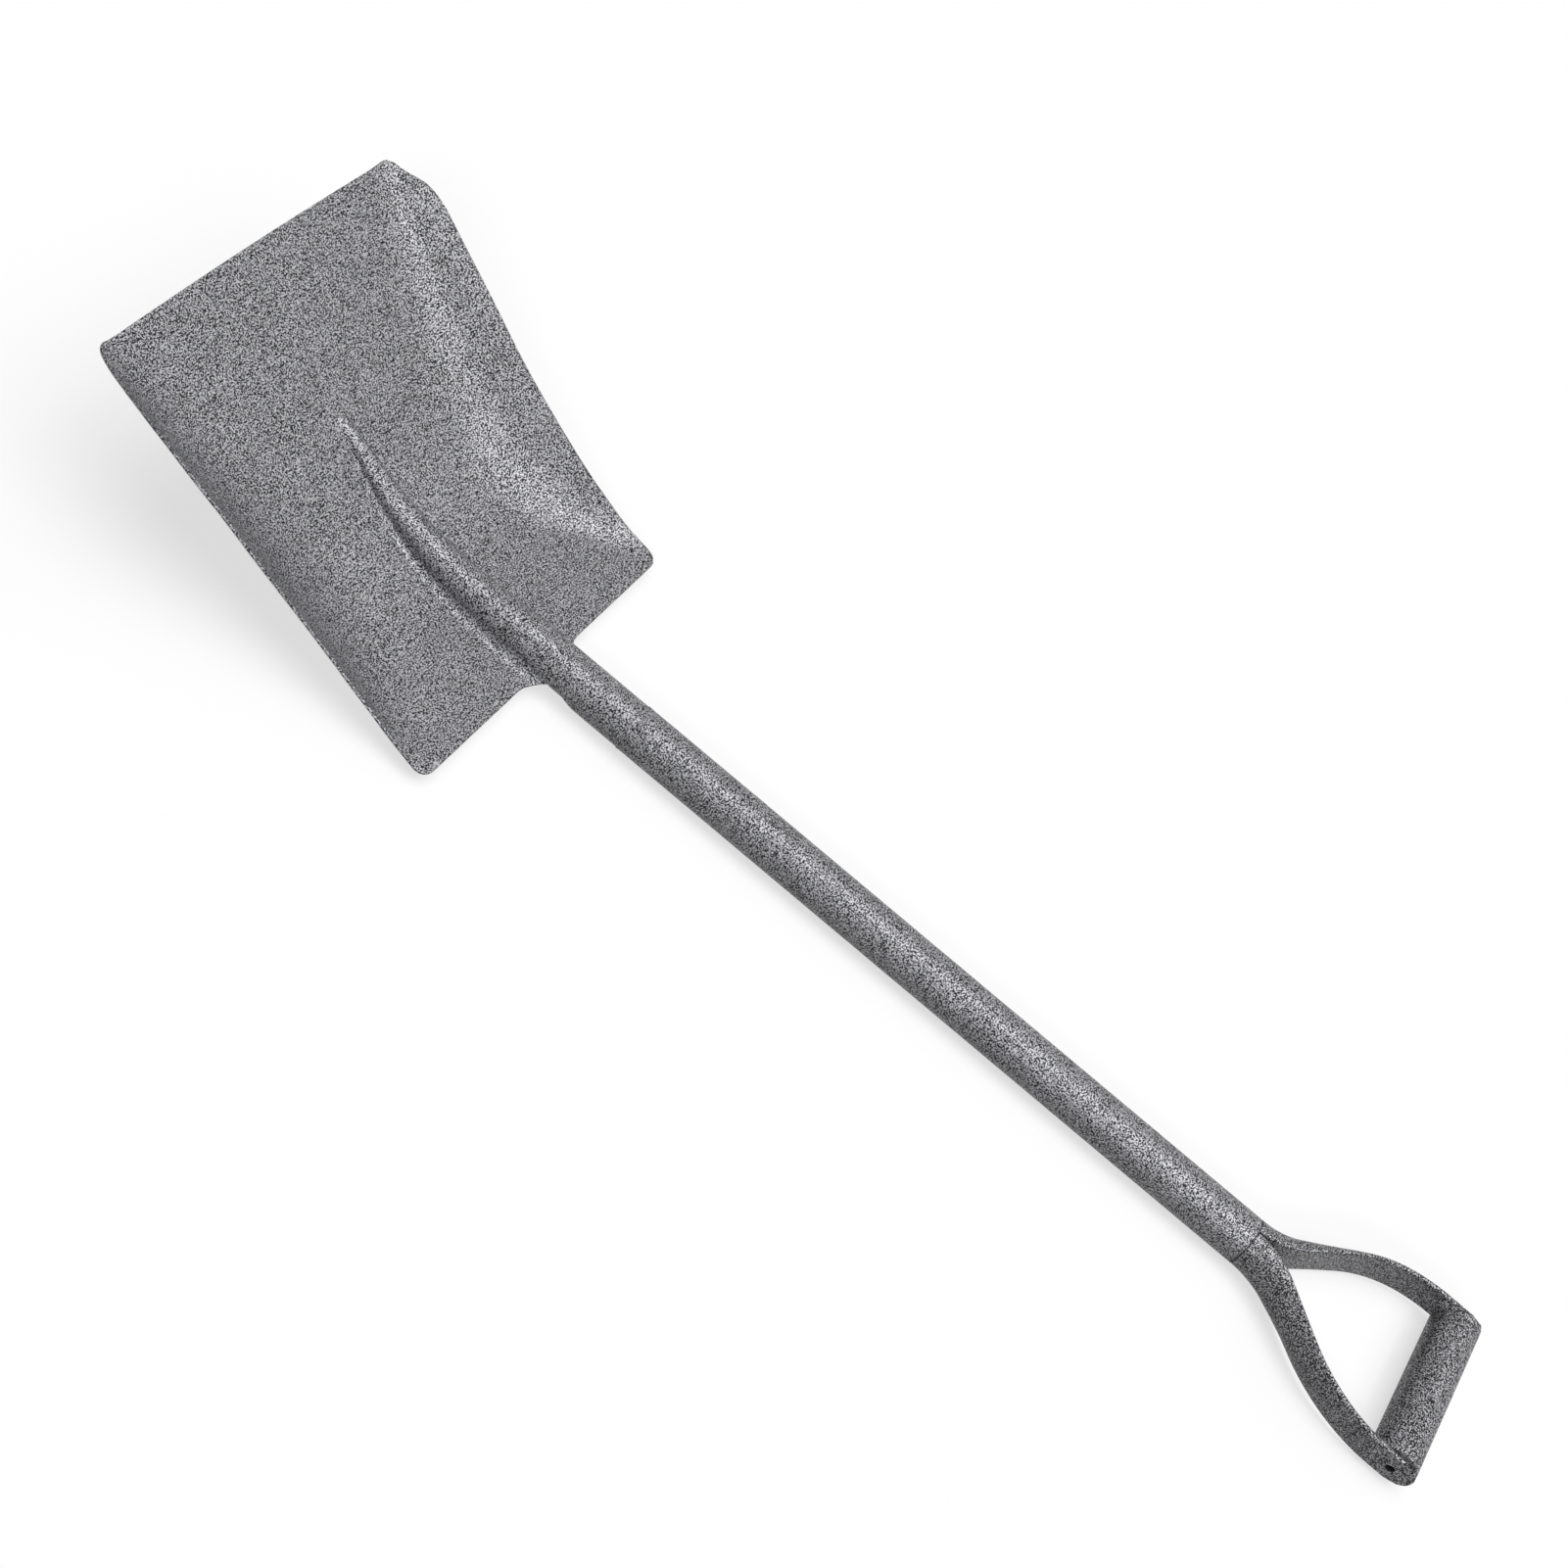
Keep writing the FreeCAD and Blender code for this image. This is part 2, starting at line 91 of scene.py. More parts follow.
def makeHammeredPaint(name, values):
    # hammer-finish powder enamel: aluminium flake gathers on small humps and leaves dark worm-like
    # valleys, so the eye sees a fine silver and black grain that sparkles along the highlights
    enamel = bpy.data.materials.new(name)
    enamel.use_nodes = True
    tree = enamel.node_tree
    tree.nodes.clear()
    place = addNode(tree, "ShaderNodeTexCoord").outputs["Object"]
    cells = 1000 * values["cellsPerPeriod"] / values["grainPeriod"]    # noise cells per metre
    grain = addNode(tree, "ShaderNodeTexNoise", {"noise_dimensions": "3D"}, {
        "Vector": place, "Scale": cells, "Detail": values["grainDetail"],
        "Roughness": values["grainRoughness"], "Distortion": values["grainDistortion"],
    })
    broad = addNode(tree, "ShaderNodeTexNoise", {"noise_dimensions": "3D"}, {
        "Vector": place, "Scale": values["cloudCells"], "Detail": values["cloudDetail"],
        "Roughness": values["cloudRoughness"],
    })
    sway = addNode(tree, "ShaderNodeMath", {"operation": "MULTIPLY_ADD"}, {
        0: broad.outputs["Fac"], 1: values["cloudSway"], 2: -values["cloudSway"] / 2,
    })
    level = addNode(tree, "ShaderNodeMath", {"operation": "ADD"}, {
        0: grain.outputs["Fac"], 1: sway.outputs["Value"],
    })
    cover = addNode(tree, "ShaderNodeMapRange", {"interpolation_type": "SMOOTHSTEP"}, {
        "Value": level.outputs["Value"],
        "From Min": values["threshold"] - values["softness"],
        "From Max": values["threshold"] + values["softness"],
        "To Min": 0.0, "To Max": 1.0,
    })
    share = cover.outputs["Result"]
    colour = addNode(tree, "ShaderNodeMix", {"data_type": "RGBA"}, {"Factor": share})
    colour.inputs[6].default_value = hexColour(values["valley"])
    colour.inputs[7].default_value = hexColour(values["flake"])
    metal = addNode(tree, "ShaderNodeMath", {"operation": "MULTIPLY"}, {
        0: share, 1: values["flakeMetal"],
    })
    gloss = addNode(tree, "ShaderNodeMapRange", {}, {
        "Value": share, "To Min": values["valleyRough"], "To Max": values["flakeRough"],
    })
    relief = addNode(tree, "ShaderNodeBump", {}, {
        "Strength": 1.0, "Distance": values["humpHeight"] / 1000, "Height": level.outputs["Value"],
    })
    surface = addNode(tree, "ShaderNodeBsdfPrincipled", {}, {
        "Base Color": colour.outputs[2],
        "Metallic": metal.outputs["Value"],
        "Roughness": gloss.outputs["Result"],
        "Specular IOR Level": values["binderShine"],
        "Coat Weight": values["clearCoat"],
        "Coat Roughness": values["coatRough"],
        "Normal": relief.outputs["Normal"],
        "Coat Normal": relief.outputs["Normal"],
    })
    addNode(tree, "ShaderNodeOutputMaterial", {}, {"Surface": surface.outputs["BSDF"]})
    return enamel


# near-black steel for the vent's bore: painted shade, so that the hole reads dark
ventShadeSteelValues = {
    "shadeDark": "#141312", "steel": "#2b2a29",
    "blotch": 0.8,              # mm, one noise cell per blotch
    "detail": 2.0, "rough": 0.7, "metal": 0.4,
}


def makeVentShadeSteel(values):
    # painted shade inside the vent: the bore is a dull, blotchy near-black steel, so that the hole
    # reads dark
    ventShadeMaterial = bpy.data.materials.new("ventShadeNearBlackSteel")
    ventShadeMaterial.use_nodes = True
    tree = ventShadeMaterial.node_tree
    tree.nodes.clear()
    place = addNode(tree, "ShaderNodeTexCoord").outputs["Object"]
    blotches = addNode(tree, "ShaderNodeTexNoise", {"noise_dimensions": "3D"}, {
        "Vector": place, "Scale": 1000 / values["blotch"], "Detail": values["detail"],
    })
    colour = addNode(tree, "ShaderNodeMix", {"data_type": "RGBA"}, {
        "Factor": blotches.outputs["Fac"],
    })
    colour.inputs[6].default_value = hexColour(values["shadeDark"])
    colour.inputs[7].default_value = hexColour(values["steel"])
    surface = addNode(tree, "ShaderNodeBsdfPrincipled", {}, {
        "Base Color": colour.outputs[2], "Metallic": values["metal"], "Roughness": values["rough"],
    })
    addNode(tree, "ShaderNodeOutputMaterial", {}, {"Surface": surface.outputs["BSDF"]})
    return ventShadeMaterial


ventShadeSteel = makeVentShadeSteel(ventShadeSteelValues)
paint = makeHammeredPaint("hammeredSilverEnamel", hammeredPaint)
# the darker enamel is painted shade, for the light that falls off towards the handle's end
handleShadePaint = makeHammeredPaint("handleShadedHammeredSilverEnamel", handleShadeHammeredPaint)
# fork arms and grip get the painted-shade enamel, everything else the plain one
for name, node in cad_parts.items():
    node.data.materials.clear()
    node.data.materials.append(handleShadePaint if "grip" in name or "arm" in name else paint)
print("finish ready")


def gridFaces(index, closedRows=False, closedColumns=False):
    # quads between neighbours of a grid of vertex numbers; a closed side joins last to first
    if closedRows:
        index = np.vstack([index, index[:1]])
    if closedColumns:
        index = np.hstack([index, index[:, :1]])
    quads = np.stack([index[:-1, :-1], index[:-1, 1:], index[1:, 1:], index[1:, :-1]], axis=-1)
    return quads.reshape(-1, 4)


sharpEdge = math.radians(38.0)      # an edge that turns by more than this stays crisp


def makePiece(name, points, faces, replaced, finish=paint):
    # smooth mesh object from points in millimetres, which stands in for one CAD node
    mesh = bpy.data.meshes.new(name)
    mesh.from_pydata((points / 1000).tolist(), [], faces)
    mesh.polygons.foreach_set("use_smooth", np.ones(len(mesh.polygons), bool))
    mesh.set_sharp_from_angle(angle=sharpEdge)
    mesh.materials.append(finish)
    piece = bpy.data.objects.new(name, mesh)
    bpy.context.scene.collection.objects.link(piece)
    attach(piece, "root")
    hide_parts(replaced)
    return piece


def eased(value, start, end):
    # 0 before start, 1 after end, and a smooth cubic step in between
    step = np.clip((value - start) / (end - start), 0, 1)
    return step * step * (3 - 2 * step)


def stepsTo(count):
    # shares from 0 to just short of 1, in even steps
    return np.linspace(0, 1, count + 1)[:-1]


def curveThrough(shares, place):
    # cubic through evenly spaced shares, with each slope taken from the two neighbours
    shares = np.asarray(shares, float)
    position = np.maximum(place, 0) * (len(shares) - 1)
    index = np.clip(position.astype(int), 0, len(shares) - 2)
    step = position - index
    slopes = np.gradient(shares)
    square, cube = step**2, step**3
    before = shares[index] * (2 * cube - 3 * square + 1) + slopes[index] * (cube - 2 * square + step)
    after = shares[index + 1] * (3 * square - 2 * cube) + slopes[index + 1] * (cube - square)
    return before + after


blade = {
    "thickness": 1.8,
    "socketRadius": 15.7, "socketStart": 240.0, "shoulderY": 304.0, "mouthY": 576.4,
    "floorDrop": 4.3, "bendStart": 53.0, "bendRadius": 170.0, "lift": 35.6,
    "halfWidth": 125.0, "wallDepth": 36.6, "wallAngle": 48.0,
    "footRadius": 7.5, "ribLength": 183.0, "ribTipHalfWidth": 5.5, "ribTipHeight": 0.01,
    "ribFade": 2.3, "ribCrown": 0.74, "ribNarrowing": 1.5,
    # where the rib, the flat floor and the inner part of the wall end, as shares of half a section
    "ribShare": 0.40, "floorShare": 0.62, "rimShare": 0.90,
    # at even stations from the shoulder to the mouth, as shares of halfWidth or, for wall, wallDepth
    "rim": [0.980, 0.962, 0.956, 0.959, 0.969, 0.985, 1.006, 1.030, 1.054, 1.078, 1.101],
    "floor": [0.80, 0.79, 0.66, 0.52, 0.43, 0.41, 0.47, 0.56, 0.655, 0.775, 0.865],
    "wall": [-0.055, 0.165, 0.475, 0.76, 0.943, 1.0, 0.94, 0.832, 0.73, 0.605, 0.35],
    # cut lines of the side and of the corner between side and mouth: a point, and x gained per y
    "sideX": 122.5, "sideSlope": 11.1 / 241.2,
    "cornerX": 133.6, "cornerY": 545.2, "cornerSlope": -8.6 / 28.5,
    "cutBlend": 2.6,            # how softly the two lines run into each other
    "shoulderFillet": 15.0, "filletX": 15.6, "shoulderCorner": 9.0, "mouthCorner": 6.0,
    "mouthProbeY": 574.0,       # where the width at the mouth is taken
    "mouthBow": 1.3,            # how far the mouth's edge draws back at its corners
    "mouthSpan": 86.0,          # mm of the mouth's edge that one unit of share covers at the rim
    "edgeRound": 0.35,          # how far the rounded edge of the sheet bulges
    # shares down the edge, and how much of edgeRound it bulges there
    "edgeBelts": ((0.10, 0.62), (0.30, 0.95), (0.50, 1.0), (0.70, 0.95), (0.90, 0.62)),
    # from where the cut edges stand upright: share of a row or column, and the rim's stretch of y
    "mouthUpright": 0.93, "rimUpright": 0.85, "rimUprightY": (490.0, 530.0),
    "leastRate": 20.0,          # mm of x per share, so that a steep wall isn't drawn back too far
    "seamEnd": 262.0, "seamHalfGap": 0.9, "socketGap": 0.15,
    # columns on socket, fillet, floor, wall and rim of one half, and rows of pan and socket
    "columnSteps": (30, 22, 20, 28, 18), "panRows": 112, "socketRows": (8, 27),
    "panCrowding": 0.176,       # how much closer the pan's rows lie at both ends
    "socketCrowding": 1.8,      # power that draws the socket's rows towards the seam's end
}


def floorHeight(along):
    # level at the shoulder, then an arc, then straight at the lift angle
    lift = math.radians(blade["lift"])
    radius = blade["bendRadius"]
    bend = along - blade["bendStart"]
    bendEnd = radius * math.sin(lift)
    arc = radius - np.sqrt(radius**2 - np.clip(bend, 0, bendEnd) ** 2)
    return arc + np.maximum(bend - bendEnd, 0) * math.tan(lift) - blade["floorDrop"]


def fullRib():
    # height, half width and summed arc radii of the rib where it leaves the socket: half width is the
    # chord of two arcs that turn by the same angle
    height = blade["socketRadius"] + blade["floorDrop"]
    arcs = blade["socketRadius"] + blade["footRadius"]
    return height, math.sqrt(arcs**2 - (arcs - height) ** 2), arcs


def ribPoint(share, along):
    # crown arc, then a foot arc that turns back by the same angle; both shrink towards the rib's tip
    fullHeight, fullHalfWidth, fullArcs = fullRib()
    faded = np.clip(along / blade["ribLength"], 0, 1)
    fade = (1 - faded ** blade["ribFade"]) ** blade["ribCrown"]
    height = blade["ribTipHeight"] + (fullHeight - blade["ribTipHeight"]) * fade
    narrowing = faded ** blade["ribNarrowing"]
    halfWidth = fullHalfWidth + (blade["ribTipHalfWidth"] - fullHalfWidth) * narrowing
    turn = 2 * np.arctan(height / halfWidth)
    arcs = halfWidth / np.sin(turn)
    crown = arcs * blade["socketRadius"] / fullArcs
    foot = arcs - crown
    travelled = share * arcs * turn
    crest = floorHeight(along) + height
    rising = np.minimum(travelled / crown, turn)
    angle = turn - np.maximum(travelled - crown * turn, 0) / foot
    x = crown * np.sin(rising) + foot * (np.sin(turn) - np.sin(angle))
    z = crest - crown * (1 - np.cos(rising)) - foot * (np.cos(angle) - np.cos(turn))
    return x, z


def wallShape(along):
    # start, arc radius, turn and straight length of the side wall: its arc rises off the floor and
    # runs on straight at the wall angle where the side is tall
    place = along / (blade["mouthY"] - blade["shoulderY"])
    start = blade["halfWidth"] * curveThrough(blade["floor"], place)
    run = blade["halfWidth"] * curveThrough(blade["rim"], place) - start
    rise = blade["wallDepth"] * curveThrough(blade["wall"], place)
    full = 2 * np.arctan(rise / run)
    limit = math.radians(blade["wallAngle"])
    tall = full > limit
    turn = np.where(tall, limit, full)
    tallRadius = (run * math.sin(limit) - rise * math.cos(limit)) / (1 - math.cos(limit))
    radius = np.where(tall, tallRadius, run / np.sin(full))
    straight = np.where(tall, (rise - tallRadius * (1 - math.cos(limit))) / math.sin(limit), 0)
    return start, radius, turn, straight


def wallPoint(share, along):
    # travels up the wall: round its arc first, then along its straight
    start, radius, turn, straight = wallShape(along)
    travelled = share * (radius * turn + straight)
    ratio = travelled / radius
    angle = np.where(np.abs(ratio) < np.abs(turn), ratio, turn)
    beyond = travelled - radius * angle
    x = start + radius * np.sin(angle) + beyond * np.cos(turn)
    z = floorHeight(along) + radius * (1 - np.cos(angle)) + beyond * np.sin(turn)
    return x, z


def facePoint(across, y):
    # loaded face of the sheet: rib, flat floor and wall side by side; across is -1 to 1, rim to
    # rim, and the floor is a straight line from the rib's foot to the crease
    along = y - blade["shoulderY"]
    share = np.abs(across)
    ribEnd, floorEnd = blade["ribShare"], blade["floorShare"]
    ribX, ribZ = ribPoint(np.minimum(share / ribEnd, 1), along)
    creaseX, creaseZ = wallPoint(np.zeros_like(share), along)
    part = np.clip((share - ribEnd) / (floorEnd - ribEnd), 0, 1)
    wallX, wallZ = wallPoint(np.maximum(share - floorEnd, 0) / (1 - floorEnd), along)
    onWall = share > floorEnd
    x = np.where(onWall, wallX, ribX + part * (creaseX - ribX))
    z = np.where(onWall, wallZ, ribZ + part * (creaseZ - ribZ))
    return np.stack([np.copysign(x, across), y, z], axis=-1)


def faceNormal(across, y):
    # cross product of a small step across and a small step along the face
    acrossStep, yStep = 4e-4, 0.1
    over = facePoint(across + acrossStep, y) - facePoint(across - acrossStep, y)
    ahead = facePoint(across, y + yStep) - facePoint(across, y - yStep)
    normal = np.cross(over, ahead)
    return normal / np.linalg.norm(normal, axis=-1, keepdims=True)


def rimAcross(y):
    # where the sheet's side ends: the pressed rim, or the nearer of two cut lines, joined smoothly as
    # half of their sum less the root of their squared gap plus cutBlend squared
    along = y - blade["shoulderY"]
    start, radius, turn, straight = wallShape(along)
    rimX = wallPoint(np.ones_like(y), along)[0]
    side = blade["sideX"] + along * blade["sideSlope"]
    corner = blade["cornerX"] + (y - blade["cornerY"]) * blade["cornerSlope"]
    cut = (side + corner - np.sqrt((corner - side) ** 2 + blade["cutBlend"] ** 2)) / 2
    rimX = np.minimum(rimX, cut) - blade["edgeRound"]
    arcX = start + radius * np.sin(turn)
    onArc = rimX < arcX
    angle = np.arcsin(np.clip((rimX - start) / radius, -1, 1))
    travelled = np.where(onArc, radius * angle, radius * turn + (rimX - arcX) / np.cos(turn))
    share = travelled / (radius * turn + straight)
    return blade["floorShare"] + (1 - blade["floorShare"]) * share


def roundedOff(distance, radius):
    # how far a quarter-round corner draws back at a distance from its side
    inside = np.clip(radius - distance, 0, radius)
    return radius - np.sqrt(radius**2 - inside**2)


def bladeColumns(socketEdge, filletEdge):
    # columns of half a section as shares of the way to the rim, closer together where the shoulder's
    # fillet starts and at the rim, by squares; the other half mirrors them
    floorEnd, rimStart = blade["floorShare"], blade["rimShare"]
    socket, fillet, floor, wall, rim = blade["columnSteps"]
    half = np.concatenate([
        stepsTo(socket) * socketEdge,
        socketEdge + (filletEdge - socketEdge) * stepsTo(fillet) ** 2,
        filletEdge + (floorEnd - filletEdge) * stepsTo(floor),
        floorEnd + (rimStart - floorEnd) * stepsTo(wall),
        rimStart + (1 - rimStart) * (1 - (1 - np.linspace(0, 1, rim + 1)) ** 2),
    ])
    return np.concatenate([-half[:0:-1], half])


def columnEnds(share, probe, probeX, socketEdge, filletEdge):
    # first and last y of each column: a fillet's circle and a round corner at the shoulder, and a bow
    # that grows with x squared and a round corner at the mouth
    fillet, filletX = blade["shoulderFillet"], blade["filletX"]
    start = blade["shoulderY"] - fillet
    x = np.interp(share, probe, probeX)
    arc = start + np.sqrt(np.maximum(fillet**2 - (filletX + fillet - x) ** 2, 0))
    first = np.where(x < filletX + fillet, arc, blade["shoulderY"])
    first = np.where(x < filletX, start, first)
    first = first + blade["edgeRound"] * eased(share, socketEdge, filletEdge)
    wallSpan = (probeX[-1] - blade["halfWidth"] * blade["floor"][0]) / (1 - blade["floorShare"])
    first += roundedOff((1 - share) * wallSpan, blade["shoulderCorner"])
    mouthRim = rimAcross(np.array([blade["mouthProbeY"]]))[0]
    mouthX = facePoint(share * mouthRim, np.full_like(share, blade["mouthProbeY"]))[:, 0]
    bow = blade["mouthBow"] * (mouthX / blade["halfWidth"]) ** 2
    last = blade["mouthY"] - bow - blade["edgeRound"]
    last -= roundedOff((1 - share) * blade["mouthSpan"], blade["mouthCorner"])
    return first, last


def panFaces(columns, firstY, lastY):
    # loaded face and underside of the pan; a sine draws the rows together at both ends, and the
    # underside is one thickness down the normal, drawn back at cut edges so that these stand upright
    even = np.linspace(0, 1, blade["panRows"])
    rowShare = even - blade["panCrowding"] * np.sin(2 * np.pi * even) / (2 * np.pi)
    y = firstY + rowShare[:, None] * (lastY - firstY)
    across = columns * rimAcross(y)
    normal = faceNormal(across, y)
    atMouth = eased(rowShare[:, None], blade["mouthUpright"], 1.0) * np.ones_like(y)
    atRim = eased(np.abs(columns), blade["rimUpright"], 1.0) * eased(y, *blade["rimUprightY"])
    drawn = np.maximum(atMouth, atRim) * blade["thickness"]
    step = 1e-3
    rate = (facePoint(across + step, y) - facePoint(across - step, y))[..., 0] / (2 * step)
    backAcross = across + drawn * normal[..., 0] / np.maximum(rate, blade["leastRate"])
    backY = y + drawn * normal[..., 1]
    back = facePoint(backAcross, backY) - blade["thickness"] * faceNormal(backAcross, backY)
    return facePoint(across, y), back


def socketFaces(columns, inSocket, socketEdge, rimThere):
    # outside and inside of the socket: the crown's circle goes on round the shaft, and behind the
    # seam the sheet's edge rises on a slant, even in the cosine of its angle
    radius, seamEnd = blade["socketRadius"], blade["seamEnd"]
    filletStart = blade["shoulderY"] - blade["shoulderFillet"]
    seamRows, slantRows = blade["socketRows"]
    y = np.concatenate([
        np.linspace(blade["socketStart"] + blade["socketGap"], seamEnd, seamRows + 1)[:-1],
        seamEnd + (filletStart - seamEnd) * stepsTo(slantRows) ** blade["socketCrowding"],
    ])
    opened = np.clip((y - seamEnd) / (filletStart - seamEnd), 0, 1)
    height, halfWidth, arcs = fullRib()
    crownLength = 2 * math.atan(height / halfWidth) * arcs
    edgeAngle = socketEdge * rimThere / blade["ribShare"] * crownLength / radius
    angleEnd = np.arccos(-1 + opened * (1 + math.cos(edgeAngle)))
    angleEnd = np.minimum(angleEnd, math.pi - blade["seamHalfGap"] / radius)
    angles = np.where(inSocket, columns / socketEdge * angleEnd[:, None], 0)
    radial = np.stack([np.sin(angles), np.zeros_like(angles), np.cos(angles)], axis=-1)
    axis = np.zeros_like(radial)
    axis[..., 1] = y[:, None]
    return axis + radial * radius, axis + radial * (radius - blade["thickness"])


def rimLoop(number, firstPan):
    # point numbers round the sheet, anticlockwise from above, through the shoulders, the socket's
    # edges and its end
    lastRow, lastColumn = number.shape[0] - 1, number.shape[1] - 1
    middle, socketColumns = number.shape[1] // 2, blade["columnSteps"][0]
    left, right = middle - socketColumns, middle + socketColumns
    rows = np.arange(firstPan, lastRow)
    return np.concatenate([
        number[rows, lastColumn],
        number[lastRow, np.arange(lastColumn, 0, -1)],
        number[rows[::-1] + 1, 0],
        number[firstPan, np.arange(0, left)],
        number[np.arange(firstPan, 0, -1), left],
        number[0, np.arange(left, right)],
        number[np.arange(0, firstPan), right],
        number[firstPan, np.arange(right, lastColumn)],
    ])


def edgePoints(top, bottom):
    # belts between the two faces of the sheet that bulge outwards, square to the edge's own direction
    tangent = np.roll(top, -1, axis=0) - np.roll(top, 1, axis=0)
    outward = np.cross(tangent, top - bottom)
    outward /= np.linalg.norm(outward, axis=1, keepdims=True)
    return np.concatenate([
        top + (bottom - top) * down + outward * blade["edgeRound"] * bulge
        for down, bulge in blade["edgeBelts"]
    ])


def makeBlade():
    # one grid carries socket and pan: columns run from rim to rim, rows from the socket to the mouth
    rimThere = rimAcross(np.array([blade["shoulderY"]]))[0]
    probe = np.linspace(0, 1, 4001)
    probeX = facePoint(probe * rimThere, np.full_like(probe, blade["shoulderY"] - 1))[:, 0]
    socketEdge = np.interp(blade["filletX"], probeX, probe)
    filletEdge = np.interp(blade["filletX"] + blade["shoulderFillet"], probeX, probe)
    columns = bladeColumns(socketEdge, filletEdge)
    inSocket = np.abs(columns) <= socketEdge + 1e-9
    ends = columnEnds(np.abs(columns), probe, probeX, socketEdge, filletEdge)
    panFace, panBack = panFaces(columns, *ends)
    socketFace, socketBack = socketFaces(columns, inSocket, socketEdge, rimThere)

    firstPan = len(socketFace)
    kept = np.ones((firstPan + len(panFace), len(columns)), bool)
    kept[:firstPan] = inSocket
    facePoints = np.concatenate([socketFace, panFace])[kept]
    backPoints = np.concatenate([socketBack, panBack])[kept]
    count = len(facePoints)
    number = np.full(kept.shape, -1)
    number[kept] = np.arange(count)
    quads = gridFaces(number)
    quads = quads[(quads >= 0).all(axis=1)]

    rim = rimLoop(number, firstPan)
    belts, steps = len(blade["edgeBelts"]), len(rim)
    between = 2 * count + np.arange(belts * steps).reshape(belts, steps)
    edge = gridFaces(np.vstack([rim, between, rim + count]), closedColumns=True)[:, ::-1]
    points = np.concatenate([facePoints, backPoints, edgePoints(facePoints[rim], backPoints[rim])])
    faces = np.concatenate([quads, quads[:, ::-1] + count, edge])
    makePiece("bladeSheet", points, faces.tolist(), "blade")


makeBlade()
print("blade made")


roundSteps = 128        # points round a turned piece


def turned(profile, axis, centre, steps=roundSteps, ripple=None):
    # a closed profile of (radius, station) carried round an axis; ripple adds to the radius by angle
    profile = np.asarray(profile, float)
    angle = np.linspace(0, 2 * np.pi, steps, endpoint=False)
    radius = np.repeat(profile[:, :1], steps, axis=1)
    station = np.repeat(profile[:, 1:], steps, axis=1)
    if ripple is not None:
        radius = radius + ripple(angle[None, :], np.arange(len(profile))[:, None])
    side, up = radius * np.sin(angle), radius * np.cos(angle)
    if axis == "y":
        points = np.stack([side, station, up], axis=-1)
    else:
        points = np.stack([station, -side, up], axis=-1)
    number = np.arange(len(profile) * steps).reshape(len(profile), steps)
    return points.reshape(-1, 3) + np.asarray(centre, float), gridFaces(number, True, True)


def outwardFaces(points, faces):
    # a closed skin whose volume comes out negative is inside out, so its faces are turned round
    corner = points[faces]
    volume = np.einsum("ij,ij->i", corner[:, 0], np.cross(corner[:, 1], corner[:, 2])).sum()
    volume += np.einsum("ij,ij->i", corner[:, 0], np.cross(corner[:, 2], corner[:, 3])).sum()
    return faces if volume > 0 else faces[:, ::-1]


def cappedRings(rings):
    # skin over a grid of rings with a cap on the first and the last, all faces turned outwards
    count, around = rings.shape[:2]
    number = np.arange(count * around).reshape(count, around)
    points = rings.reshape(-1, 3)
    quads = gridFaces(number, closedColumns=True)
    faces = outwardFaces(points, quads)
    caps = [number[0][::-1], number[-1]]
    if faces is not quads:
        caps = [cap[::-1] for cap in caps]
    return points, faces.tolist() + [cap.tolist() for cap in caps]


def makeTurned(name, profile, axis, centre, replaced, steps=roundSteps, ripple=None, finish=paint):
    # a turned piece with all its faces outwards
    points, faces = turned(profile, axis, centre, steps, ripple)
    return makePiece(name, points, outwardFaces(points, faces).tolist(), replaced, finish)


shaft = {
    "radius": 16.0, "wall": 1.5, "forkY": -240.0, "neckY": 237.0, "socketY": 240.0,
    "neck": [[15.3, 238.0], [14.4, 239.2]],         # radius and y on the way down to the spigot
    "spigotRadius": 13.8, "spigotEnd": 295.0,
    "spigotBevel": (0.3, 0.4),  # across and along
    "bevel": 1.2, "bevelSoftness": 0.12, "rings": 49,
}


def makeShaft():
    # tube wall: outside from the fork to the neck, in to the spigot, and back along the bore
    radius, wall, forkY, bevel = (shaft[name] for name in ("radius", "wall", "forkY", "bevel"))
    spigot, end, soft = (shaft[name] for name in ("spigotRadius", "spigotEnd", "bevelSoftness"))
    across, along = shaft["spigotBevel"]
    run = np.linspace(forkY + bevel, shaft["neckY"], shaft["rings"])
    profile = np.concatenate([
        [[radius - wall, forkY], [radius - bevel, forkY], [radius - soft, forkY + bevel - soft]],
        np.stack([np.full_like(run, radius), run], axis=1),
        shaft["neck"],
        [[spigot, shaft["socketY"]], [spigot, end - along], [spigot - across, end],
         [spigot - wall + across, end], [spigot - wall, end - along],
         [spigot - wall, shaft["socketY"]], [radius - wall, shaft["neckY"]]],
    ])
    makeTurned("shaftTube", profile, "y", (0, 0, 0), "shaft_tube")


def weldRipple(height, waves, seed):
    # overlapping ripples of a hand-run bead: a wave round the joint whose back is sharpened by its
    # own sine, spaced unevenly by two slower sines and a little higher on some sides than on others
    drift = np.random.default_rng(seed).uniform(0, 2 * np.pi, 3)
    wander, slowWander, sharpness, rowLag, swing = 0.8, 0.5, 0.6, 0.35, 0.2

    def ripple(angle, row):
        phase = waves * angle + wander * np.sin(3 * angle + drift[0])
        phase = phase + slowWander * np.sin(5 * angle + drift[1])
        wave = 0.5 + 0.5 * np.sin(phase + sharpness * np.sin(phase) + rowLag * row)
        return height * (wave - 1) * (1 - swing + swing * np.sin(2 * angle + drift[2]))
    return ripple


socketBead = {
    "rise": 0.19, "settle": 0.3, "settleFrom": 0.7, "root": [13.9, 239.9], "points": 9,
    "ripple": 0.16, "waves": 34, "seed": 3, "steps": 360,
}


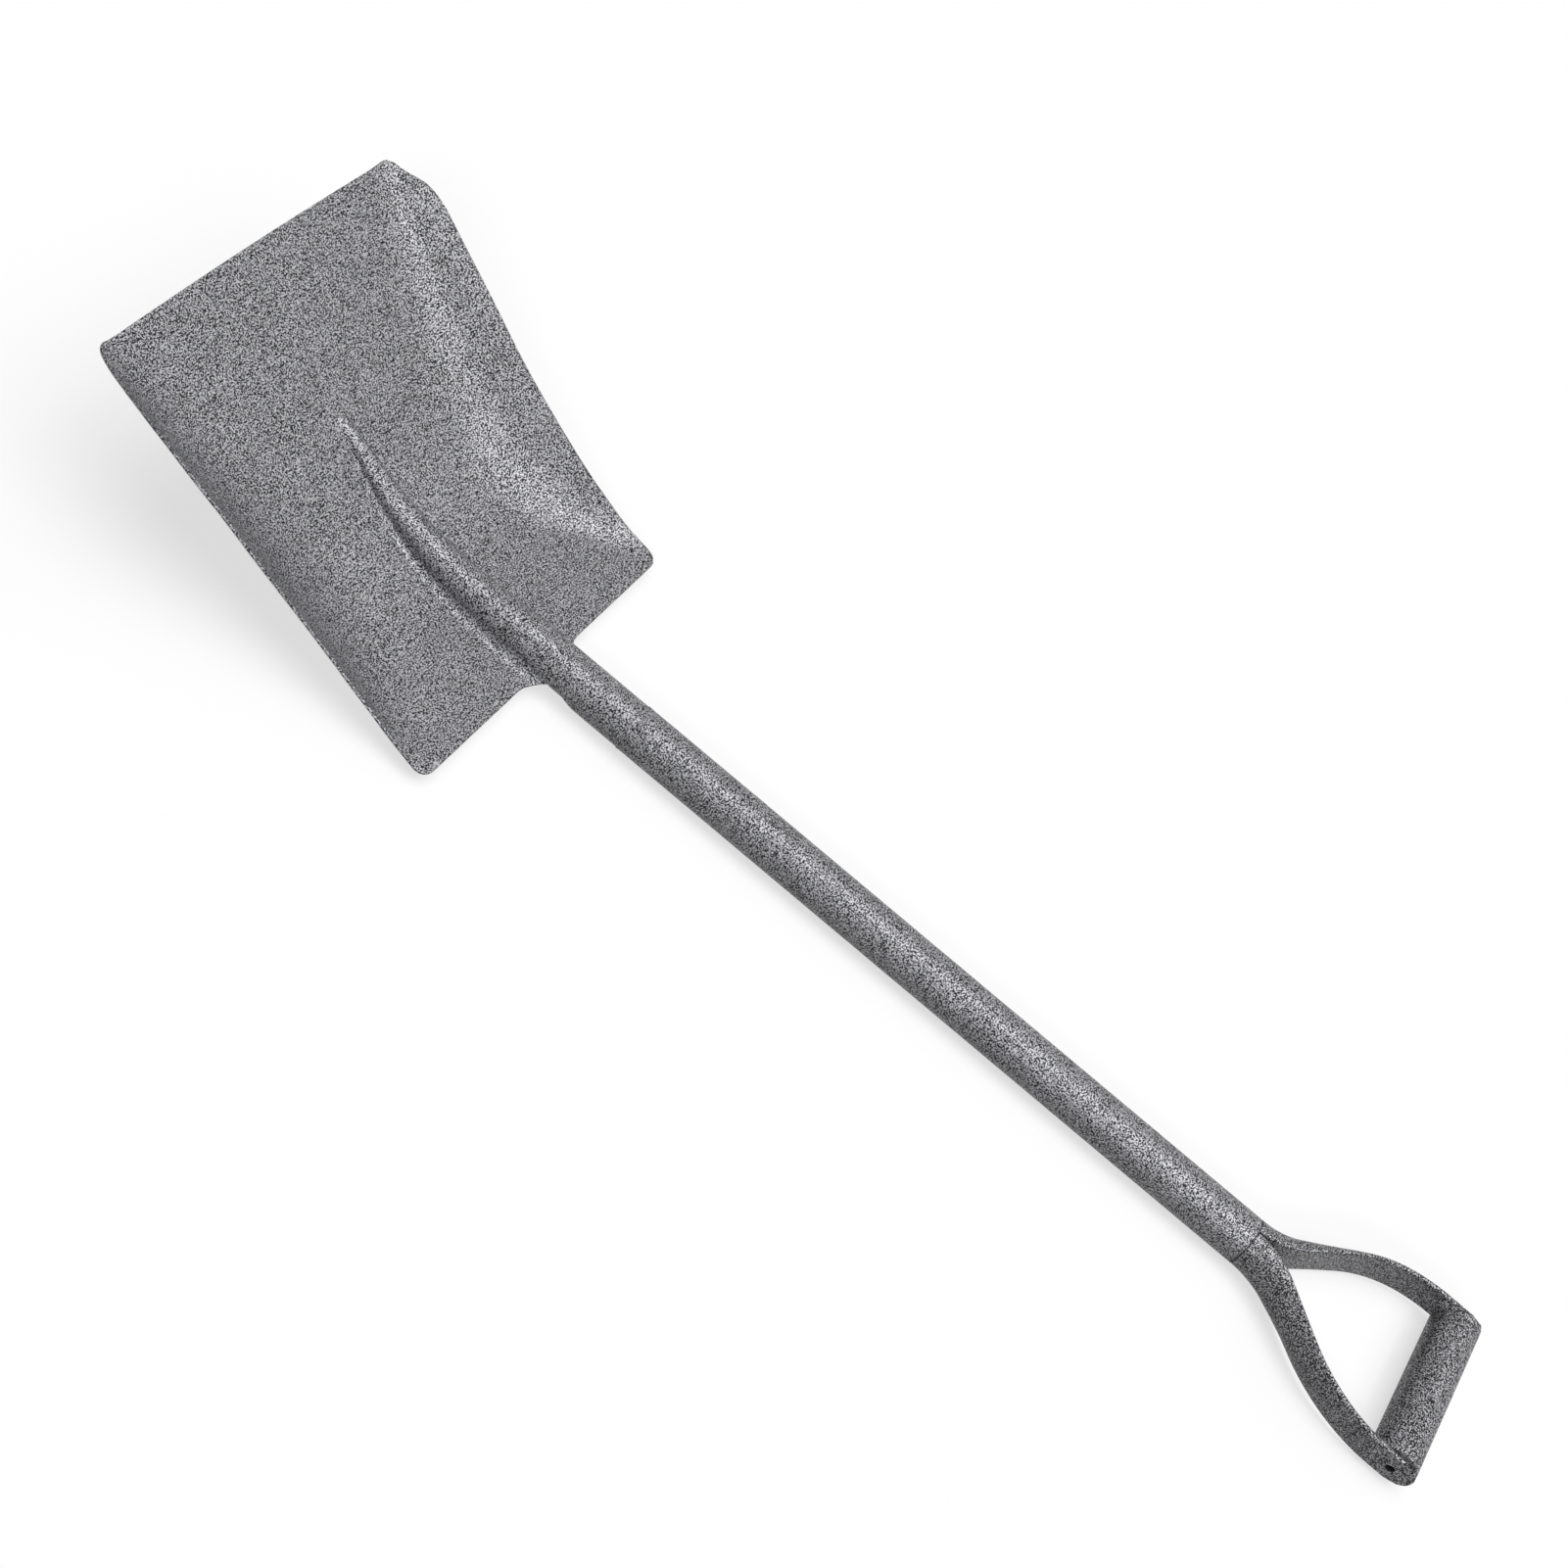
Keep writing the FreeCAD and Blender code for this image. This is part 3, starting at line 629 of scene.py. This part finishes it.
def makeSocketWeld():
    # low bead between neck and socket: half a sine over the groove that settles towards the socket,
    # with ripples round it
    span = np.linspace(0, 1, socketBead["points"])
    settled = socketBead["settle"] * eased(span, socketBead["settleFrom"], 1.0)
    radius = shaft["radius"] + socketBead["rise"] * np.sin(np.pi * span) - settled
    y = shaft["neckY"] + (shaft["socketY"] - shaft["neckY"]) * span
    profile = np.concatenate([np.stack([radius, y], axis=1), [socketBead["root"]]])
    bead = weldRipple(socketBead["ripple"], socketBead["waves"], socketBead["seed"])

    def ripple(angle, row):
        return np.where((row > 0) & (row < socketBead["points"] - 1), bead(angle, row), 0)
    makeTurned("socketWeld", profile, "y", (0, 0, 0), "socket_weld", socketBead["steps"], ripple)


forkBead = {
    # radius and y of a thin ring, sunk in the bevel at the shaft's end so that it reads as a dark
    # line
    "profile": [[14.8, -239.95], [15.0, -239.95], [14.9, -239.6], [14.95, -239.3], [15.2, -239.2]],
    "ripple": 0.1, "waves": 40, "seed": 5, "steps": 192,
}


def makeForkWeld():
    # the ring carried round the shaft with ripples
    ripple = weldRipple(forkBead["ripple"], forkBead["waves"], forkBead["seed"])
    makeTurned("forkWeld", forkBead["profile"], "y", (0, 0, 0), "fork_weld",
               forkBead["steps"], ripple)


seamBead = {
    "start": 240.1, "end": 261.9, "halfWidth": 0.79, "rings": 90, "archPoints": 9,
    "edgeDepth": 15.25, "rootDepth": 13.95, "crown": 0.58,
    "swell": 0.14, "waveRate": 3.3, "sharpness": 0.5,
}


def makeSeamWeld():
    # bead along the back of the socket: half a circle's arch across the gap carried along Y, whose
    # crown swells in waves sharpened by their own sine
    y = np.linspace(seamBead["start"], seamBead["end"], seamBead["rings"])[:, None]
    arch = np.linspace(-np.pi / 2, np.pi / 2, seamBead["archPoints"])
    phase = seamBead["waveRate"] * y
    swell = seamBead["swell"] / 2 * np.sin(phase + seamBead["sharpness"] * np.sin(phase))
    x = seamBead["halfWidth"] * np.sin(arch) * np.ones_like(y)
    z = -(seamBead["edgeDepth"] + (seamBead["crown"] + swell) * np.cos(arch))
    low = np.stack([x, y * np.ones_like(x), z], axis=-1)
    root = low[:, [-1, 0]]
    root[..., 2] = -seamBead["rootDepth"]
    points, faces = cappedRings(np.concatenate([low, root], axis=1))
    makePiece("socketSeamWeld", points, faces, "socket_seam_weld")


makeShaft()
makeSocketWeld()
makeForkWeld()
makeSeamWeld()
print("shaft and welds made")


arm = {
    "gap": 0.8, "firstBend": 50.0, "secondBend": 120.0, "bendAngle": 34.0, "neckHalfWidth": 15.0,
    "crown": 0.25, "middleCrown": 1.4, "corner": 2.2, "cornerAngle": 84.0,
    "rise": 2.2, "gripReach": 137.5,
    "eyeThickness": 3.6, "eyeRadius": 12.2, "eyeReach": 15.6, "eyeEdge": 1.5,
    # at even steps: share of the way along, of the change from D to flat, and of the narrowing
    "station": [0.0, 0.10, 0.20, 0.32, 0.45, 0.60, 0.78, 1.0],
    "flat": [0.0, 0.10, 0.32, 0.60, 0.80, 0.92, 0.98, 1.0],
    "narrowed": [0.0, 0.0, 0.1, 0.3, 0.5, 0.75, 0.92, 1.0],
    "rings": 110, "endRings": 14, "outerPoints": 33, "cornerPoints": 11, "innerPoints": 21,
    "endCrowding": 1.35,        # power that draws the last rings towards the eye's tip
    "lastTurn": 88.5, "tipExtra": 0.05,             # keep the last ring from closing to a point
}
vent = {
    "radius": 2.75, "steps": 48, "overrun": 1.0,
    # how much wider and how far past the eye's face, where the paint rounds the mouth
    "mouth": ((0.0, -0.35), (0.12, -0.05), (0.45, 0.35), (0.45, 2.0)),
}
grip = {
    "y": -377.5, "halfLength": 50.4, "radius": 15.4, "wall": 1.5, "capRim": 5.8,
    "capSpigot": 8.0, "spigotClearance": 0.1, "bevel": 0.8, "runMargin": 1.5, "rings": 25,
}
eyeInnerX = grip["halfLength"] + grip["capRim"]


def armCentre(share):
    # centre line: arc outwards, straight, arc back, straight to the eye, lifted a little halfway
    startX = (shaft["radius"] + arm["gap"] / 2) / 2
    turn = math.radians(arm["bendAngle"])
    first, second = arm["firstBend"], arm["secondBend"]
    spread = eyeInnerX + arm["eyeThickness"] / 2 - startX
    slant = (spread - (first + second) * (1 - math.cos(turn))) / math.sin(turn)
    slantEnd = first * math.sin(turn) + slant * math.cos(turn)
    tail = arm["gripReach"] + arm["eyeReach"] - arm["eyeRadius"] - slantEnd - second * math.sin(turn)
    ends = np.cumsum([first * turn, slant, second * turn, tail])
    left = share * ends[-1]
    angle = np.minimum(left, ends[0]) / first
    straight = np.clip(left - ends[0], 0, slant)
    back = np.clip(left - ends[1], 0, second * turn) / second
    last = np.maximum(left - ends[2], 0)
    x = startX + first * (1 - np.cos(angle)) + straight * math.sin(turn)
    x += second * (np.cos(turn - back) - math.cos(turn))
    y = shaft["forkY"] - first * np.sin(angle) - straight * math.cos(turn)
    y -= second * (math.sin(turn) - np.sin(turn - back)) + last
    heading = angle - back
    return x, y, arm["rise"] * np.sin(np.pi * share) ** 2, heading


def arcThrough(first, middle, last, steps):
    # circle through three points of each section, from the squares of their distances and the
    # differences of their neighbours, followed at even angles from first to last. Known fault: an
    # exact half circle, as at the corners of the flat rings round the eye, has no shorter way, so
    # rounding picks the side and some of those corners bulge inwards
    corners = np.stack([first, middle, last])
    after, before = np.roll(corners, -1, axis=0), np.roll(corners, 1, axis=0)
    squares = (corners**2).sum(axis=-1)
    bend = 2 * (corners[..., 0] * (after - before)[..., 1]).sum(axis=0)
    centre = np.stack([
        (squares * (after - before)[..., 1]).sum(axis=0) / bend,
        (squares * (before - after)[..., 0]).sum(axis=0) / bend,
    ], axis=1)
    begin, end = first - centre, last - centre
    radius = np.linalg.norm(begin, axis=1)[:, None]
    crossed = begin[:, 0] * end[:, 1] - begin[:, 1] * end[:, 0]
    sweep = np.arctan2(crossed, (begin * end).sum(axis=1))[:, None]
    angle = np.arctan2(begin[:, 1], begin[:, 0])[:, None] + sweep * np.linspace(0, 1, steps)
    return centre[:, None] + np.stack([radius * np.cos(angle), radius * np.sin(angle)], axis=-1)


def armRings():
    # centre, heading, flatness, half thickness, half width and crown of each ring of an arm; round
    # the eye's end the width follows the circle and the thickness its rounded edge
    path = np.linspace(0, 1, arm["rings"])
    share, flat, narrowed = (
        np.clip(curveThrough(arm[name], path), 0, 1) for name in ("station", "flat", "narrowed")
    )
    x, y, z, heading = armCentre(share)
    eyeHalf, eyeRadius, edge = arm["eyeThickness"] / 2, arm["eyeRadius"], arm["eyeEdge"]
    half = eyeHalf + (arm["corner"] - eyeHalf) * (1 - flat)
    width = arm["neckHalfWidth"] + (eyeRadius - arm["neckHalfWidth"]) * narrowed
    crown = arm["crown"] + (arm["middleCrown"] - arm["crown"]) * np.sin(np.pi * path) ** 2

    place = 1 - np.linspace(0, 1, arm["endRings"] + 1)[1:]
    turn = math.radians(90) * (1 - place ** arm["endCrowding"])
    turn = np.minimum(turn, math.radians(arm["lastTurn"]))
    inset = eyeRadius * (1 - np.sin(turn))
    endHalf = eyeHalf - edge + np.sqrt(edge**2 - np.clip(edge - inset, 0, edge) ** 2)
    endWidth = np.maximum(eyeRadius * np.cos(turn), endHalf + arm["tipExtra"])
    end = (np.full_like(turn, x[-1]), y[-1] - eyeRadius * np.sin(turn), np.zeros_like(turn),
           np.zeros_like(turn), np.ones_like(turn), endHalf, endWidth, arm["crown"] * np.cos(turn))
    along = (x, y, z, heading, flat, half, width, crown)
    return [np.concatenate(pair) for pair in zip(along, end)]


def makeArm(side):
    # section along the route: from a D that matches the shaft to a flat oval, then the eye's round
    # end
    x, y, z, heading, flat, half, width, crown = armRings()
    shift = (shaft["radius"] + arm["gap"] / 2) / 2
    cornerAngle = math.radians(arm["cornerAngle"])
    radius, corner = shaft["radius"], arm["corner"]
    flatSide = arm["gap"] / 2 - shift

    def mixed(first, second):
        return first + (second - first) * flat

    outerMiddle = np.stack([mixed(radius - shift, half + crown), np.zeros_like(flat)], axis=1)
    outerTop = np.stack([mixed(radius * math.cos(cornerAngle) - shift, half),
                         mixed(radius * math.sin(cornerAngle), width - half)], axis=1)
    tip = np.stack([mixed(flatSide + corner / 4, 0 * flat),
                    mixed(radius - corner / 4, width)], axis=1)
    innerTop = np.stack([mixed(flatSide, -half), mixed(radius - corner, width - half)], axis=1)
    flip = np.array([1, -1])
    outer = arcThrough(outerTop * flip, outerMiddle, outerTop, arm["outerPoints"])
    upper = arcThrough(outerTop, tip, innerTop, arm["cornerPoints"])
    down = np.linspace(0, 1, arm["innerPoints"])[:, None]
    inner = innerTop[:, None] + (innerTop * flip - innerTop)[:, None] * down
    lower = (upper * flip)[:, ::-1]
    ring = np.concatenate([stretch[:, :-1] for stretch in (outer, upper, inner, lower)], axis=1)
    outwards, up = ring[..., 0], ring[..., 1]
    points, faces = cappedRings(np.stack([
        side * (x[:, None] + outwards * np.cos(heading)[:, None]),
        y[:, None] + outwards * np.sin(heading)[:, None],
        z[:, None] + up,
    ], axis=-1))
    name = "right" if side > 0 else "left"
    # painted shade: the arm takes the darker enamel
    piece = makePiece(name + "ForkArm", points, faces, name + "_fork_arm", handleShadePaint)
    drillVent(piece, side)


def drillVent(piece, side):
    # vent hole through the eye: a turned cutter that flares a little where the paint rounds its mouth
    face, radius, steps = eyeInnerX + arm["eyeThickness"], vent["radius"], vent["steps"]
    profile = [[radius, eyeInnerX - vent["overrun"]]]
    profile += [[radius + wider, face + beyond] for wider, beyond in vent["mouth"]]
    points, quads = turned(np.array(profile) * [1, side], "x", (0, grip["y"], 0), steps)
    quads = quads[:-steps]      # leaves out the belt that would join the last ring to the first
    count = len(points)
    rings = [np.arange(steps).tolist(), np.arange(count - steps, count)[::-1].tolist()]
    mesh = bpy.data.meshes.new("ventCutter")
    mesh.from_pydata((points / 1000).tolist(), [], quads.tolist() + rings)
    # painted shade: the cutter's near-black steel goes onto the hole's wall
    mesh.materials.append(ventShadeSteel)
    outside = bmesh.new()
    outside.from_mesh(mesh)
    bmesh.ops.recalc_face_normals(outside, faces=outside.faces)
    outside.to_mesh(mesh)
    outside.free()
    cutter = bpy.data.objects.new("ventCutter", mesh)
    bpy.context.scene.collection.objects.link(cutter)
    cut = piece.modifiers.new("vent", "BOOLEAN")
    cut.operation, cut.solver, cut.object = "DIFFERENCE", "EXACT", cutter
    cut.material_mode = "TRANSFER"      # the hole's wall keeps the cutter's near-black steel: painted shade
    bpy.context.view_layer.update()
    whole = piece.evaluated_get(bpy.context.evaluated_depsgraph_get())
    drilled = bpy.data.meshes.new_from_object(whole)
    piece.modifiers.clear()
    piece.data = drilled
    drilled.set_sharp_from_angle(angle=sharpEdge)
    bpy.data.objects.remove(cutter)


def roundedEdge(radius, station, towards, reach):
    # three points of a softened bevel at the end of a turned piece
    soft = 0.3 * reach
    return [[radius, station - towards * reach], [radius - soft, station - towards * soft],
            [radius - reach, station]]


def makeGrip():
    # tube wall with softened bevels, and the same for each cap's rim and spigot
    end, radius, bevel = grip["halfLength"], grip["radius"], grip["bevel"]
    bore = radius - grip["wall"]
    runEnd = end - grip["runMargin"]
    tube = [[bore, -end], [bore, end]] + roundedEdge(radius, end, 1, bevel)[::-1]
    tube += [[radius, place] for place in np.linspace(runEnd, -runEnd, grip["rings"])]
    tube += roundedEdge(radius, -end, -1, bevel)
    # painted shade: the grip's tube and caps take the darker enamel
    makeTurned("gripTube", tube, "x", (0, grip["y"], 0), "grip_tube", finish=handleShadePaint)
    spigot, spigotEnd = bore - grip["spigotClearance"], end - grip["capSpigot"]
    cap = [[vent["radius"], spigotEnd], [spigot, spigotEnd], [spigot, end]]
    cap += roundedEdge(radius, end, -1, bevel)[::-1] + roundedEdge(radius, eyeInnerX, 1, bevel)
    cap += [[vent["radius"], eyeInnerX]]
    for side, name in ((1, "right"), (-1, "left")):
        piece = makeTurned(name + "GripCap", np.array(cap) * [1, side], "x", (0, grip["y"], 0),
                           name + "_grip_cap", finish=handleShadePaint)
        # painted shade: the vent's wall in the cap gets the near-black steel
        piece.data.materials.append(ventShadeSteel)
        bored = np.zeros(len(piece.data.polygons), int)
        bored[-roundSteps:] = 1     # the last belt of faces is the vent's wall
        piece.data.polygons.foreach_set("material_index", bored)


gripBead = {
    "leg": 5.0, "rings": 97, "points": 13, "hollow": 1.7,
    "runOut": 0.012,            # least squared share of the leg, at both ends of the bead
    "swell": 0.30, "swellShare": 0.7, "waves": 46, "seeds": {1: 11, -1: 12},
    "sunk": 0.3,                # how far its root lies inside the cap and the arm
}


def makeGripWeld(side):
    # hollow fillet in the corner between cap and arm: each leg shrinks by powers of the way across,
    # carried round the grip's axis with ripples and run out to nothing at both ends
    leg, radius, hollow, sunk = gripBead["leg"], grip["radius"], gripBead["hollow"], gripBead["sunk"]
    reach = math.asin(arm["eyeRadius"] / (radius + leg))
    turn = np.linspace(-1, 1, gripBead["rings"])[:, None]
    across = np.linspace(0, 1, gripBead["points"])
    size = leg * np.sqrt(np.maximum(1 - turn**4, gripBead["runOut"]))
    beads = weldRipple(1.0, gripBead["waves"], gripBead["seeds"][side])(turn * reach, 0)
    swell = gripBead["swell"] * (beads + 1) * np.sin(np.pi * across) * (size / leg)
    swell = swell * gripBead["swellShare"]
    x = eyeInnerX - size * (1 - across) ** hollow - swell
    out = radius + size * across**hollow + swell
    x[:, -1] = eyeInnerX + sunk
    out[:, 0] = radius - sunk
    x = np.concatenate([x, np.full_like(turn, eyeInnerX + sunk)], axis=1)
    out = np.concatenate([out, np.full_like(turn, radius - sunk)], axis=1)
    angle = turn * reach
    points, faces = cappedRings(np.stack([
        side * x, grip["y"] + out * np.cos(angle), out * np.sin(angle),
    ], axis=-1))
    name = "right" if side > 0 else "left"
    # painted shade: the weld takes the darker enamel
    makePiece(name + "GripWeld", points, faces, name + "_grip_weld", handleShadePaint)


for side in (1, -1):
    makeArm(side)
    makeGripWeld(side)
makeGrip()
print("fork and grip made")


room = {
    "floorZ": -16.4,            # mm, just under the weld ring that the shovel rests on
    "floorSize": 12000.0,
    "floorSeen": "#ffffff",     # what the camera sees
    "floorLit": "#545454",      # what throws light back up at the object
    "shadowVeil": 0.65,         # share of plain white that the camera sees over the floor's shadow
    "skyTop": 0.11, "skyEdge": 0.03,                # strengths overhead and at the horizon
    "skyReach": 0.9,            # height, as a share of straight up, where the sky is at its brightest
}


def seenDirectly(tree):
    # 1 for what the camera sees, also in a reflection or through glass, and 0 for what lights the
    # object: the three kinds of ray added up
    path = addNode(tree, "ShaderNodeLightPath")
    reflected = addNode(tree, "ShaderNodeMath", {"operation": "ADD"}, {
        0: path.outputs["Is Glossy Ray"], 1: path.outputs["Is Transmission Ray"],
    })
    return addNode(tree, "ShaderNodeMath", {"operation": "ADD", "use_clamp": True}, {
        0: path.outputs["Is Camera Ray"], 1: reflected.outputs["Value"],
    }).outputs["Value"]


def makeFloor():
    # matte paper that keeps the shovel's shadow under a veil of plain white
    size, z = room["floorSize"], room["floorZ"]
    mesh = bpy.data.meshes.new("studioFloor")
    corners = np.array([[-1, -1], [1, -1], [1, 1], [-1, 1]]) * size / 2
    points = np.column_stack([corners, np.full(4, z)])
    mesh.from_pydata((points / 1000).tolist(), [], [[0, 1, 2, 3]])
    floor = bpy.data.objects.new("studioFloor", mesh)
    bpy.context.scene.collection.objects.link(floor)
    sheet = bpy.data.materials.new("matteStudioPaper")    # matte white paper: even, no shine
    sheet.use_nodes = True
    tree = sheet.node_tree
    tree.nodes.clear()
    seen = seenDirectly(tree)
    colour = addNode(tree, "ShaderNodeMix", {"data_type": "RGBA"}, {"Factor": seen})
    colour.inputs[6].default_value = hexColour(room["floorLit"])
    colour.inputs[7].default_value = hexColour(room["floorSeen"])
    matte = addNode(tree, "ShaderNodeBsdfDiffuse", {}, {"Color": colour.outputs[2]})
    white = addNode(tree, "ShaderNodeEmission", {}, {
        "Color": hexColour(room["floorSeen"]), "Strength": 1.0,
    })
    veil = addNode(tree, "ShaderNodeMath", {"operation": "MULTIPLY"}, {
        0: seen, 1: room["shadowVeil"],
    })
    paper = addNode(tree, "ShaderNodeMixShader", {}, {
        0: veil.outputs["Value"], 1: matte.outputs["BSDF"], 2: white.outputs["Emission"],
    })
    addNode(tree, "ShaderNodeOutputMaterial", {}, {"Surface": paper.outputs["Shader"]})
    mesh.materials.append(sheet)


def makeSky():
    # world light by height: a little brighter overhead than at the horizon, and plain white where
    # it is seen
    world = bpy.data.worlds.new("studioSky")
    bpy.context.scene.world = world
    world.use_nodes = True
    tree = world.node_tree
    tree.nodes.clear()
    direction = addNode(tree, "ShaderNodeTexCoord").outputs["Generated"]
    height = addNode(tree, "ShaderNodeSeparateXYZ", {}, {"Vector": direction}).outputs["Z"]
    level = addNode(tree, "ShaderNodeMapRange", {"interpolation_type": "SMOOTHSTEP"}, {
        "Value": height, "From Min": 0.0, "From Max": room["skyReach"],
        "To Min": room["skyEdge"], "To Max": room["skyTop"],
    })
    shown = addNode(tree, "ShaderNodeMix", {"data_type": "FLOAT"}, {
        0: seenDirectly(tree), 2: level.outputs["Result"], 3: 1.0,
    })
    light = addNode(tree, "ShaderNodeBackground", {}, {
        "Color": hexColour(room["floorSeen"]), "Strength": shown.outputs[0],
    })
    addNode(tree, "ShaderNodeOutputWorld", {}, {"Surface": light.outputs["Background"]})


lamps = {
    # direction to the lamp, how wide it looks in degrees, strength in W/m2
    "overheadSoftbox": ((0.0, 0.0, 1.0), 45.0, 1.52),
    "handleSoftbox": ((-0.1, -0.5, 0.86), 35.0, 0.94),
    "rightFill": ((0.5, -0.5, 0.7), 40.0, 0.28),
    "lowFill": ((-0.84, 0.42, 0.25), 35.0, 0.06),
    "tubeKey": ((-0.74, -0.22, 0.63), 10.0, 0.46),
}


def makeLamps():
    # softboxes far away, so that the light is even over the floor: each is a wide sun
    for name, (direction, width, strength) in lamps.items():
        towards = np.array(direction) / np.linalg.norm(direction)
        data = bpy.data.lights.new(name, "SUN")
        data.energy, data.angle = strength, math.radians(width)
        lamp = bpy.data.objects.new(name, data)
        side = np.cross([0.0, 1.0, 0.01], towards)      # a reference that no lamp lies along
        side /= np.linalg.norm(side)
        axes = np.stack([side, np.cross(towards, side), towards], axis=1)
        lamp.matrix_world = Matrix(axes.tolist()).to_4x4()
        bpy.context.scene.collection.objects.link(lamp)


camera = {
    # calibrated on the photo: place in mm, unit axes of the picture, lens and sensor in mm
    "place": (-841.86, 95.01, 1088.20),
    "right": (0.51637747, -0.76643115, 0.38201780),
    "down": (-0.58023414, -0.64122250, -0.50215740),
    "ahead": (0.62982748, 0.03764300, -0.77582237),
    "lens": 52.37, "sensor": 36.0,
    "farthest": 50.0,           # metres
}


def makeCamera():
    # Blender's camera looks down its own -Z with Y up, so two of the picture's axes change sign
    data = bpy.data.cameras.new("photoCamera")
    data.lens, data.sensor_width = camera["lens"], camera["sensor"]
    data.clip_end = camera["farthest"]
    eye = bpy.data.objects.new("photoCamera", data)
    axes = np.stack([camera["right"], -np.array(camera["down"]), -np.array(camera["ahead"])], axis=1)
    place = Matrix.Translation([length / 1000 for length in camera["place"]])
    eye.matrix_world = place @ Matrix(axes.tolist()).to_4x4()
    bpy.context.scene.collection.objects.link(eye)
    bpy.context.scene.camera = eye


makeFloor()
makeSky()
makeLamps()
makeCamera()
bpy.context.scene.view_settings.view_transform = "Standard"
print("room, lamps and camera ready")
